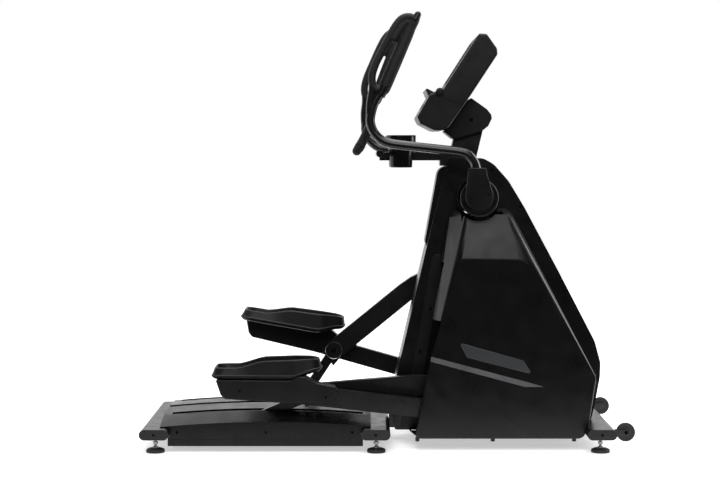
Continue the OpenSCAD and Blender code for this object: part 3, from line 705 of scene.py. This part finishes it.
def make_shroud(side, word):
    """One half of the centre shroud, with the seam between the halves."""
    outline = rounded(SHROUD, SHROUD_CORNERS)
    outer = slab("shroud", outline, 0.2, SHROUD_Y, side)
    inner = slab("hollow", inset(outline, WALL), -5, SHROUD_Y - WALL, side)
    hump = rounded([(172, 782), (160, 828), (216, 1138), (300, 1138), (230, 782)], [10, 24, 40, 0, 0])
    boss = disc_tool(HUB, 86, SHROUD_Y - WALL, BOSS_Y, side)
    cut(outer, slab("hump", hump, 0.2, HUMP_Y, side), boss, join=True)
    hump_in = slab("hollow", inset(hump, WALL), -5, HUMP_Y - WALL, side)
    cut(outer, inner, hump_in, disc_tool(HUB, 80, 100, BOSS_Y + 14, side))
    corners = [(-56, -90), (56, -90), (56, 1300), (-56, 1300)]
    mast = slab("tool", placed(corners, MAST_FOOT, -MAST_LEAN), -5, 41, side)
    clamp = block("tool", (221, -50, 1139), (283, 50, 1199))
    spine = block("tool", (0, -104, -10), (900, 104, 122))
    cut(outer, mast, clamp, spine, beam_tool(side), disc_tool(CRANK, 30, 90, 120, side))
    soften(outer, 4, 4, 40)
    outer.name = "centre_shroud_" + word + "_skin"
    dress(outer, "frame", "cover", ["centre_shroud_" + word], 32)


def shell_form(name, depth, side):
    """The side shell's form with its face's rim rounded, more at the top, or the form inside its wall."""
    points = [(p, y) for p in inset(rounded(ROOT, 16), depth) for y in (SHROUD_Y + 0.5 - depth, 150)]
    for inward, back in ((8, 0), (2, 2), (0, 10)):
        points += [(p, NECK_Y - back - depth) for p in inset(rounded(NECK, 12), depth + inward)]
    points += [(Vector(p), SHOULDER_Y - depth) for p in SHOULDER]
    face = rounded(FACE, 26, 8)
    inwards = [a - b for a, b in zip(inset(face, 1), face)]
    for k in range(7):
        angle = math.radians(15 * k)
        for p, inward in zip(face, inwards):
            radius = 9 + 36 * max(0.0, min(1.0, (p[1] - 700) / 80))
            place = p + inward * (depth + radius * (1 - math.sin(angle)))
            points.append((place, SHELL_Y - depth - radius * (1 - math.cos(angle))))
    shape = bmesh.new()
    for p, y in points:
        shape.verts.new((p[0] * MM, y * side * MM, p[1] * MM))
    bmesh.ops.convex_hull(shape, input=shape.verts)
    loose = [v for v in shape.verts if not v.link_faces]
    bmesh.ops.delete(shape, geom=loose, context="VERTS")
    bmesh.ops.dissolve_limit(shape, angle_limit=math.radians(0.8), verts=shape.verts, edges=shape.edges)
    bmesh.ops.recalc_face_normals(shape, faces=shape.faces)
    return bmesh_object(name, shape)


def make_side_shell(side, word):
    """A side shell with its ways for the moving parts, its rear flange and its small feet."""
    node = "side_shell_" + word
    outer = shell_form(node + "_skin", 0, side)
    cut(outer, shell_form("hollow", WALL, side))
    arm_way = slab("tool", [(-50, 58), (190, 58), (250, 520), (-50, 520)], 90, SHELL_Y - WALL, side)
    link_way = slab("tool", [(-50, 500), (255, 500), (268, 748), (-50, 748)], 90, 204, side)
    root_in = slab("tool", inset(rounded(ROOT, 16), WALL), 90, 150, side)
    swing_gap = slab("tool", [(300, 880), (470, 880), (470, 980), (300, 980)], 190, 234, side)
    cut(outer, root_in, arm_way, link_way, swing_gap, disc_tool(HUB, 94, 90, 330, side), beam_tool(side))
    dress(outer, "frame", "shell", [node], 30)
    strip = rounded(
        [(58, 60), (124, 400), (184, 752), (200, 778), (226, 776), (236, 752), (175, 400), (108, 60)],
        [3, 0, 22, 22, 22, 10, 0, 3],
    )
    flange = slab("side_flange_" + word, strip, SHROUD_Y + 0.4, SHROUD_Y + 5.4, side)
    dress(soften(flange, 2.0), "frame", "pedal")
    foot = [(0, 34), (7, 34), (8.5, 35.5), (8.5, 52), (0, 52)]
    feet = [turned("bump", foot, (x, 280 * side, 0), upright=True, steps=32) for x in (122, 425, 752)]
    dress(joined("shell_bumpers_" + word, feet), "frame", "rubber")


def make_badges():
    """Plain plates, and on each side shell a pale strip that is a painted highlight for the light on the shell's
    upward-facing ledge.
    """
    plates = []
    painted_ledge_highlights = []
    badge = rounded([(288, 434), (546, 362), (584, 306), (320, 374)], [6, 6, 8, 8])
    ledge = rounded([(176, 378), (556, 277), (630, 256), (552, 256), (173, 358)], [2, 0, 1, 20, 2])
    for side, _ in SIDES:
        plate = slab("plate", badge, SHELL_Y - 0.2, SHELL_Y + 2.3, side)
        plates.append(soften(plate, 0.9))
        # a flat pale strip: painted highlight where light falls on the shell's upward-facing step
        strip = slab("ledge", ledge, SHELL_Y - 0.2, SHELL_Y + 1.9, side)
        painted_ledge_highlights.append(soften(strip, 0.8))
    dress(joined("badge_plates", plates), "frame", "badge", ["side_badges"])
    dress(joined("ledge_highlight_strips", painted_ledge_highlights), "frame", "accent", ["accent_strips"])


def make_cover_screws():
    """Every screw in the covers."""
    low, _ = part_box("rail_cover_right")
    cover_face = -low.y / MM
    heads = []
    for side, _ in SIDES:
        for at in ((432, 1126), (551, 974)):
            heads.append(screw_head("s", at, SHROUD_Y - 0.1, side, 6))
        for at in ((181, 554), (138, 377)):
            heads.append(screw_head("s", at, SHROUD_Y + 9.9, side, 6))
        for x in (-840, -485, -140):
            heads.append(screw_head("s", (x, 78), cover_face - 0.1, side, 5.5))
    dress(joined("screws", heads), "frame", "screw", ["cover_screws"])


on_both_sides(make_shroud, make_side_shell)
make_badges()
make_cover_screws()


# ---------- mast, drive and fixed handlebar ----------

# Each node with the width of its rounded edges
for steel_node, edge in (
    ("mast", 6), ("pivot_cross_shaft", 1.5), ("drive_frame", 1), ("drive_bearings", 0.8), ("brake_unit", 1),
    ("drive_belt", 0.4), ("crank_shaft", 1), ("drive_pulley", 1.2), ("crank_arms", 3), ("flywheel", 1.5),
    ("idler_pulley", 1),
):
    refined(steel_node, edge)


def make_handlebar():
    """The fixed handlebar with its clamp, and the pulse grips."""
    refined("handlebar", 3, "tube", 3)
    grips = []
    bands = []
    for side, _ in SIDES:
        path = smooth_path([(-122, 196, 1201), (-106, 196, 1226), (-76, 196, 1286), (-64, 196, 1306)], 10)
        grips.append(tube("grip", path, lambda t: 20.5 - 2.2 * math.cos(2 * math.pi * t) ** 2, side))
        for share in (0.3, 0.72):
            at = path[int(share * (len(path) - 1))]
            ahead = (path[-1] - path[0]).normalized()
            band = [at - ahead * 2, at, at + ahead * 2]
            bands.append(tube("band", band, 20.6, side, dome=False))
    dress(joined("pulse_grip_bodies", grips), "frame", "foam", ["pulse_grips"])
    dress(joined("pulse_grip_bands", bands), "frame", "hub")


def make_cups():
    """Two stepped cup holders, each with a rolled rim, on arms from the stem."""
    cups = []
    low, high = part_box("cup_holders")
    x = (low.x + high.x) / 2 / MM
    y = high.y / MM - 61
    z0, z1 = low.z / MM, high.z / MM
    for side, _ in SIDES:
        profile = [(0, z0), (41, z0), (44, z0 + 1.2), (45.6, z0 + 4.5), (50, z1 - 44), (52, z1 - 42)]
        profile += [(56.5, z1 - 39.5), (59.6, z1 - 36), (61, z1 - 31), (61, z1 - 3), (60.2, z1 - 1)]
        profile.append((58.6, z1))
        profile += [(57.4, z1 - 0.6), (56.8, z1 - 3), (56.4, z1 - 35), (54, z1 - 37.6), (46.4, z1 - 38)]
        profile += [(41.6, z0 + 8), (39, z0 + 4.2), (0, z0 + 4)]
        cup = turned("cup", profile, (x, y * side, 0), upright=True, steps=96)
        arm = block("arm", (x - 22, 22, 1166), (x + 22, y - 42, 1192))
        if side < 0:
            arm.data.transform(Matrix.Scale(-1, 4, (0, 1, 0)))
            arm.data.flip_normals()
        cups += [cup, soften(arm, 4)]
    dress(joined("cups", cups), "frame", "cup", ["cup_holders"])


make_handlebar()
make_cups()


# ---------- console ----------

CONSOLE = [
    (374, 1677), (404, 1675), (446, 1616), (448, 1592), (338, 1424), (246, 1292), (226, 1284), (192, 1284),
    (136, 1312), (122, 1338), (174, 1430), (196, 1442), (228, 1450),
]
CONSOLE_CORNERS = [9, 14, 22, 14, 30, 24, 24, 24, 14, 12, 8, 10, 10]
SCREEN_FOOT, SCREEN_HEAD = Vector((233, 1454)), Vector((374, 1674))
KEYS_FOOT, KEYS_HEAD = Vector((124, 1342)), Vector((174, 1427))


def tilted_block(foot, head, low, high):
    """A box in the frame of a tilted face: along it, across the machine, and out of it."""
    tilt = math.degrees(math.atan2(head.y - foot.y, head.x - foot.x))
    (x0, y0, z0), (x1, y1, z1) = low, high
    return slab("tilted", placed([(x0, z0), (x1, z0), (x1, z1), (x0, z1)], foot, tilt), y0, y1)


def make_console():
    """Console housing, with its pockets and seams, and the bracket behind it."""
    refined("console_bracket", 7, segments=4)
    housing = slab("console_body", rounded(CONSOLE, CONSOLE_CORNERS), -204.5, 204.5)
    soften(housing, 13, 6, 50)
    cut(housing, tilted_block(SCREEN_FOOT, SCREEN_HEAD, (22, -178, -6), (240, 178, 30)))
    middle = (KEYS_FOOT + KEYS_HEAD) / 2
    for y in (-90, -30, 30, 90):
        low, high = (-11.6, y - 18.6, -7), (11.6, y + 18.6, 20)
        cut(housing, tilted_block(middle, middle + KEYS_HEAD - KEYS_FOOT, low, high))
    seam_line = [(190, 1446), (214, 1430), (262, 1404), (318, 1396), (338, 1420), (352, 1446)]
    for y in (-207, 202.2):
        seam = [Vector(p) for p in smooth_path(seam_line, 6)]
        cut(housing, slab("seam", seam + [p - Vector((0, 2.6)) for p in seam[::-1]], y, y + 4.8))
        groove = [SCREEN_FOOT + Vector((30, 8)), SCREEN_HEAD + Vector((14, -16))]
        cut(housing, slab("groove", round_bar(*groove, 3), y, y + 4.8))
    dress(housing, "frame", "console", ["console_housing"], 32)


def make_console_face():
    """Screen with its bezel, keys, reading ledge, hinge knobs and bracket bolts."""
    refined("console_screen", 0.8)
    bezel = tilted_block(SCREEN_FOOT, SCREEN_HEAD, (12, -190, -2), (250, 190, 3.2))
    soften(bezel, 2.2)
    cut(bezel, tilted_block(SCREEN_FOOT, SCREEN_HEAD, (25, -175, -10), (237, 175, 20)))
    bezel.name = "screen_bezel"
    dress(bezel, "frame", "accent")
    for node in ("start_key", "stop_key", "plus_key", "minus_key"):
        refined(node, 0.9, segments=3)
    lip = rounded([(170, 1424), (158, 1452), (164, 1456), (196, 1440)], 3)
    ledge = slab("reading_ledge", lip, -160, 160)
    dress(soften(ledge, 2), "frame", "console")
    knobs = []
    bolts = []
    profile = [(0, 200), (15, 200), (15, 206), (17, 207), (17, 211), (14.6, 213), (6, 213), (5, 211)]
    profile.append((0, 211))
    for side, _ in SIDES:
        knobs.append(turned("knob", profile, (214, 1440), side, steps=48))
        bolts.append(screw_head("bolt", (350, 1330), 77.8, side, 7, 2.4))
    dress(joined("screen_hinge_knobs", knobs), "frame", "hub")
    dress(joined("bracket_bolts", bolts), "frame", "screw")


make_console()
make_console_face()


# ---------- swing arms ----------

# Middle lines of the handle's tubes and of the grip's limbs
HANDLE = [
    (360, 1040), (359, 1092), (357, 1125), (346, 1160), (322, 1186), (290, 1198), (224, 1206), (142, 1215),
    (60, 1224), (12, 1231), (-24, 1246), (-52, 1274), (-66, 1308), (-66, 1342), (-50, 1396), (-14, 1450),
]
SPUR = [(-62, 1290), (-70, 1334), (-70, 1388), (-62, 1436), (-60, 1462)]
GRIP_FRONT = [(-18, 1440), (-10, 1456), (17, 1520), (59, 1616), (96, 1698), (108, 1722)]
GRIP_BACK = [
    (-14, 1452), (-40, 1447), (-57, 1462), (-61, 1500), (-47, 1548), (-18, 1606), (12, 1664), (38, 1707),
    (62, 1731), (90, 1736), (110, 1724),
]
HANDLE_Y = 290
# The angle of the lower arm that these lines go with
DRAWN_SWING = 7.41


def arm_angle(word):
    """Angle of a swing arm's lower part from straight down."""
    along = flat(PIN["pedal_pivot_" + word]) - HUB
    return math.degrees(math.atan2(along.x, -along.y))


def swung(points, word):
    """Side view points of the handle, turned with the swing arm."""
    turn = arm_angle(word) - DRAWN_SWING
    return [HUB + Matrix.Rotation(math.radians(turn), 2) @ (Vector(p) - HUB) for p in points]


def across_path(points):
    """Side view points in the plane of a handle."""
    return [(p[0], HANDLE_Y, p[1]) for p in points]


def limb(points, word):
    """The smooth middle line of one of a handle's tubes."""
    return across_path(smooth_path(swung(points, word)))


def make_swing_arm(side, word):
    """Lower arm, hub disc, pin of the pedal arm and handle tube."""
    body = "swing_" + word
    node = "swing_arm_" + word
    pin = flat(PIN["pedal_pivot_" + word])
    lower = soften(slab(node + "_bar", round_bar(HUB, pin, 60), 200, 226, side), 5, 4)
    dress(lower, body, "arm", [node])
    disc = [(17.6, 168), (30, 168), (32, 170), (32, 261), (70, 261), (75.5, 262.5), (77, 265), (77, 271.5)]
    disc += [(75, 274.6), (71.5, 275.8), (68, 275.2), (66, 273.4), (60, 273.4), (58, 275), (56, 275.8)]
    disc += [(17.6, 275.8), (17.6, 168)]
    dress(turned(node + "_hub_disc", disc, HUB, side, steps=128), body, "hub")
    profile = [(0, 196), (15, 196), (15, 268), (21, 269.2), (21.6, 271), (21, 273.2), (18, 274), (0, 274)]
    dress(turned(node + "_pin", profile, pin, side), body, "zinc")
    main_tube = tube(node + "_tube", limb(HANDLE, word), 18.5, side, 40)
    spur = tube("spur", limb(SPUR, word), 14.5, side, 36)
    dress(cut(main_tube, spur, join=True), body, "tube")


def make_hub_cover(side, word):
    """The cover over the hub and the foot of the handle, with its two screws."""
    body = "swing_" + word
    angles = [math.radians(-192 + 6 * k) for k in range(35)]
    round_part = [HUB + Vector((-2, 6)) + 55 * Vector((math.cos(a), math.sin(a))) for a in angles]
    neck = [HUB + Vector(p) for p in ((30, 96), (24, 121), (-44, 121), (-50, 96))]
    outline = round_part + rounded(neck, 6)[4:-4]
    cover = slab("hub_cover_skin_" + word, swung(outline, word), 275.5, 311, side)
    soften(cover, 9, 5, 50)
    cut(cover, tube("tool", limb(HANDLE[:5], word), 19.2, side, 40))
    dress(cover, body, "hub", ["hub_cover_" + word], 34)
    spots = swung([HUB + Vector((34, 15)), HUB + Vector((-35, 1))], word)
    heads = [screw_head("s", at, 310.4, side, 4.6) for at in spots]
    dress(joined("hub_screws_" + word, heads), body, "screw")


def make_grip(side, word):
    """The looped rubber grip, with its end cap and its collar."""
    body = "swing_" + word
    front = limb(GRIP_FRONT, word)
    back = limb(GRIP_BACK, word)
    web = limb([(27, 1650), (54, 1692), (80, 1718)], word)
    grip = joined("grip_" + word, [
        tube("front", front, lambda t: 21 + 5 * math.sin(math.pi * min(1, 1.3 * t)) ** 0.6, side, 44, 0.72),
        tube("back", back, lambda t: 15.4 + 0.8 * math.sin(math.pi * t), side, 36),
        tube("web", web, 18, side, 36, 0.86),
    ])
    remesh = grip.modifiers.new("skin", "REMESH")
    remesh.mode = "VOXEL"
    remesh.voxel_size = 2.6 * MM
    smooth = grip.modifiers.new("smooth", "SMOOTH")
    smooth.factor = 0.6
    smooth.iterations = 12
    bpy.context.view_layer.update()
    apply(grip)
    grip.name = "grip_skin_" + word
    dress(grip, body, "foam", ["hand_grip_" + word], 60)
    end = swung([(112, 1727), (122, 1745)], word)
    cap_path = across_path([end[0], (end[0] + end[1]) / 2, end[1]])
    cap = tube("grip_cap_" + word, cap_path, lambda t: 17.5 - 4 * t, side, 36)
    dress(cap, body, "hub")
    collar_path = across_path(swung([(-30, 1421), (-14, 1450), (-8, 1462)], word))
    collar = tube("grip_collar_" + word, collar_path, 20.4, side, 36, dome=False)
    dress(soften(collar, 1.5), body, "hub")


on_both_sides(make_swing_arm, make_hub_cover, make_grip)


# ---------- pedal arms, pedals, links and rollers ----------

def line_angle(a, b):
    """Angle of the line from a to b in the side view."""
    return math.degrees(math.atan2(b.y - a.y, b.x - a.x))


# The foot tray in the pedal arm's own place: its middle and half width across, its tilt and its ends
TRAY_MIDDLE = 191
TRAY_HALF = 95
TRAY_TILT = 4
TRAY_X = (-416, 30)
# Heights of the tray's rim and of the lip round its floor, along the tray
RIM_LINE = [
    (-450, 106), (-400, 112), (-310, 113), (-285, 119), (-228, 137), (-205, 142), (-20, 150), (50, 146),
]
LIP_LINE = [(-450, 82), (-90, 82), (-76, 85), (-30, 101), (-8, 108), (50, 118)]
BOOT = [
    (-398, 66), (-376, 4), (-358, -12), (-90, -28), (46, -28), (72, -14), (102, 20), (80, 44),
    (10, 57), (-34, 82), (-62, 82), (-96, 66),
]
BOOT_CORNERS = [6, 10, 14, 30, 16, 12, 10, 10, 14, 10, 16, 6]


def between(x, points):
    """Height at x on a line through points."""
    for (xa, za), (xb, zb) in zip(points, points[1:]):
        if x <= xb:
            t = max(0.0, min(1.0, (x - xa) / (xb - xa)))
            return za + (zb - za) * t
    return points[-1][1]


def pedal_place(word):
    """A pedal arm's link pin in the side view, and the angle of the arm."""
    at = flat(PIN["link_pivot_" + word])
    return at, line_angle(at, flat(PIN["pedal_pivot_" + word]))


def on_tray(points, at, turn):
    """Side view points of the tray, tilted and put on the pedal arm."""
    return placed(placed(points, (0, 0), TRAY_TILT), at, turn)


def tray_loop(grow, line, rise, at, turn):
    """One loop round the tray in plan, grown outwards, at a rise over its rim's or its lip's line."""
    x0, x1 = TRAY_X[0] - grow, TRAY_X[1] + grow
    half = TRAY_HALF + grow
    corners = [
        (x0, -half + 14), (x0 + 34, -half), (x1 - 96, -half), (x1, -half + 42),
        (x1, half - 30), (x1 - 96, half), (x0 + 34, half), (x0, half - 14),
    ]
    steps = 9
    plan = rounded(corners, [22, 60, 90, 44, 44, 90, 60, 22], steps)
    dense = []
    for i, (a, b) in enumerate(zip(plan, plan[1:] + plan[:1])):
        pieces = 24 if i % (steps + 1) == steps else 1
        dense += [a.lerp(b, k / pieces) for k in range(pieces)]
    loop = []
    for p in dense:
        spot = on_tray([(p[0], between(p[0], line) + rise)], at, turn)[0]
        loop.append((spot.x, TRAY_MIDDLE + p[1], spot.y))
    return loop


def make_tray(side, word):
    """A pedal's foot tray, with a flared wall and a raised rim."""
    node = "pedal_" + word
    levels = [
        (-26, LIP_LINE, -16), (-12, LIP_LINE, -15), (-5, LIP_LINE, -9), (-2.5, LIP_LINE, -4.5),
        (-0.4, LIP_LINE, -3.5), (0, LIP_LINE, -1.5), (-0.4, LIP_LINE, 0.8), (-3, LIP_LINE, 2.2),
        (-4.5, LIP_LINE, 4.5), (-11, RIM_LINE, -5), (-12, RIM_LINE, -1.6), (-14, RIM_LINE, 0),
        (-18, RIM_LINE, 0), (-20, RIM_LINE, -1.6), (-21, RIM_LINE, -5), (-24, LIP_LINE, 9),
        (-27, LIP_LINE, 5.5), (-32, LIP_LINE, 4),
    ]
    tray = loft(node + "_tray", [tray_loop(*level, *pedal_place(word)) for level in levels], side)
    dress(tray, NODE_BODY[node], "pedal", [node], 45)


def tread(x, y, at, turn, side):
    """One slanted tread of a pedal's mat, drawn in a little at its top."""
    base = [(x, y - 5), (x + 8, y - 2), (x + 13, y + 5), (x + 5, y + 2)]
    cx = sum(p[0] for p in base) / 4
    cy = sum(p[1] for p in base) / 4
    rings = []
    for shrink, rise in ((0, 6.9), (0, 8.6), (0.16, 9.5)):
        ring = []
        for px, py in base:
            lx, ly = px + (cx - px) * shrink, py + (cy - py) * shrink
            spot = on_tray([(lx, between(lx, LIP_LINE) + rise)], at, turn)[0]
            ring.append((spot.x, TRAY_MIDDLE + ly, spot.y))
        rings.append(ring)
    return loft("tread", rings, side)


def make_mat(side, word):
    """A pedal's rubber mat, with staggered rows of treads."""
    node = "pedal_" + word
    place = pedal_place(word)
    levels = ((-34, LIP_LINE, 3.8), (-34, LIP_LINE, 6.4), (-36, LIP_LINE, 7.4))
    pieces = [loft("mat", [tray_loop(*level, *place) for level in levels], side)]
    for row in range(15):
        for column in range(7):
            y = -52 + column * 16 + (8 if row % 2 else 0)
            pieces.append(tread(-368 + row * 19, y, *place, side))
    dress(joined(node + "_mat", pieces), NODE_BODY[node], "mat")


def make_boot(side, word):
    """The boot under a pedal, cut out for the pedal arm and its pin, with its screws."""
    node = "pedal_" + word
    body = NODE_BODY[node]
    at, turn = pedal_place(word)
    boot = slab(node + "_boot", on_tray(rounded(BOOT, BOOT_CORNERS), at, turn), 222, 283, side)
    soften(boot, 6, 4, 40)
    arm_line = placed([(-371, -37.6), (760, -37.6), (760, 37.6), (-371, 37.6)], (0, 0), -1.8)
    channel = slab("tool", placed(arm_line, at, turn), 229.4, 268.6, side)
    cut(boot, channel, disc_tool(at, 24.5, 150, 277, side))
    dress(boot, body, "pedal", sharp=34)
    spots = on_tray([(-300, 22), (48, 0)], at, turn)
    heads = [screw_head("s", spot, 282.8, side, 4.8) for spot in spots]
    dress(joined(node + "_screws", heads), body, "screw")


def make_link(side, word):
    """The rail link with its pins, the bolt at the pedal arm, and the roller."""
    refined("pedal_arm_" + word, 5, segments=4)
    refined("rail_link_" + word, 4.5, segments=4)
    body = NODE_BODY["rail_link_" + word]
    at = flat(PIN["link_pivot_" + word])
    ring = [(33.8, 151.6), (34.6, 151), (36, 151), (36.8, 151.8), (36.8, 158.5), (33.8, 158.5)]
    ring.append(ring[0])
    dress(turned("link_ring_" + word, ring, at, side, steps=96), body, "bright")
    end = [(0, 152.6), (4.4, 152.6), (5, 151.4), (9, 151.4), (10.4, 152.8), (10.4, 160), (0, 160)]
    dress(turned("link_pin_end_" + word, end, at, side, steps=48), body, "screw")
    bolt = screw_head("link_bolt_" + word, at, 273.9, side, 9, 5)
    dress(bolt, body, "zinc")
    refined("roller_" + word, 1.5)
    hub_at = flat(PIN["roller_spin_" + word])
    cap = [(0, 195.5), (13, 195.5), (13, 198), (11.5, 199), (5, 199), (4.4, 197), (0, 197)]
    dress(turned("roller_bolt_" + word, cap, hub_at, side, steps=40), body, "zinc")


on_both_sides(make_tray, make_mat, make_boot, make_link)
